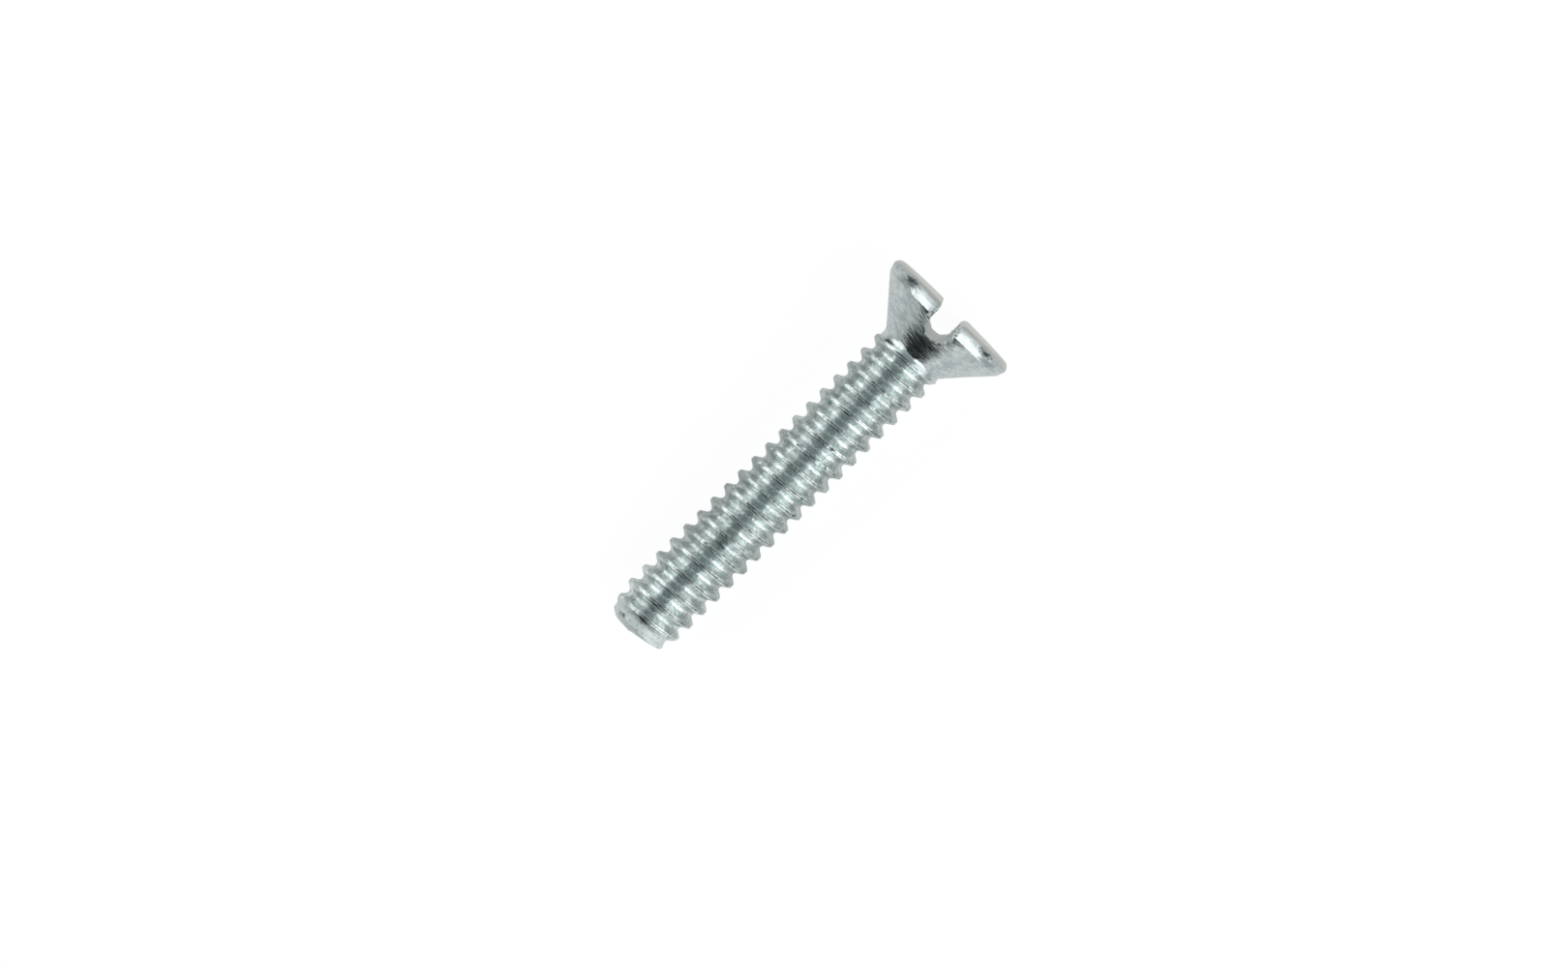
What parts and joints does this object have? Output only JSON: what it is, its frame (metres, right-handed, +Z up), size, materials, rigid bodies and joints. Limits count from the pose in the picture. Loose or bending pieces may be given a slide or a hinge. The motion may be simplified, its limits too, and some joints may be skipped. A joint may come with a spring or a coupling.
{
  "type": "machine screw",
  "caption": "Slotted flat countersunk machine screw with a right-hand thread up to the neck, zinc plated, lying as it comes to rest.",
  "frame": {"origin": "centre of the lying screw's bounding box, on the surface that it rests on", "axes": "+X along the lying screw towards its head, +Z up from the surface, +Y across the screw; the screw's own axis rises towards the head by 5.06 degrees"},
  "size_m": [0.019, 0.0064, 0.0063],
  "materials": {
    "zinc_plate": "bright zinc plate over rolled steel, polished crests and fine turning marks"
  },
  "bodies": {
    "root": {"screw": "zinc_plate"}
  },
  "joints": []
}
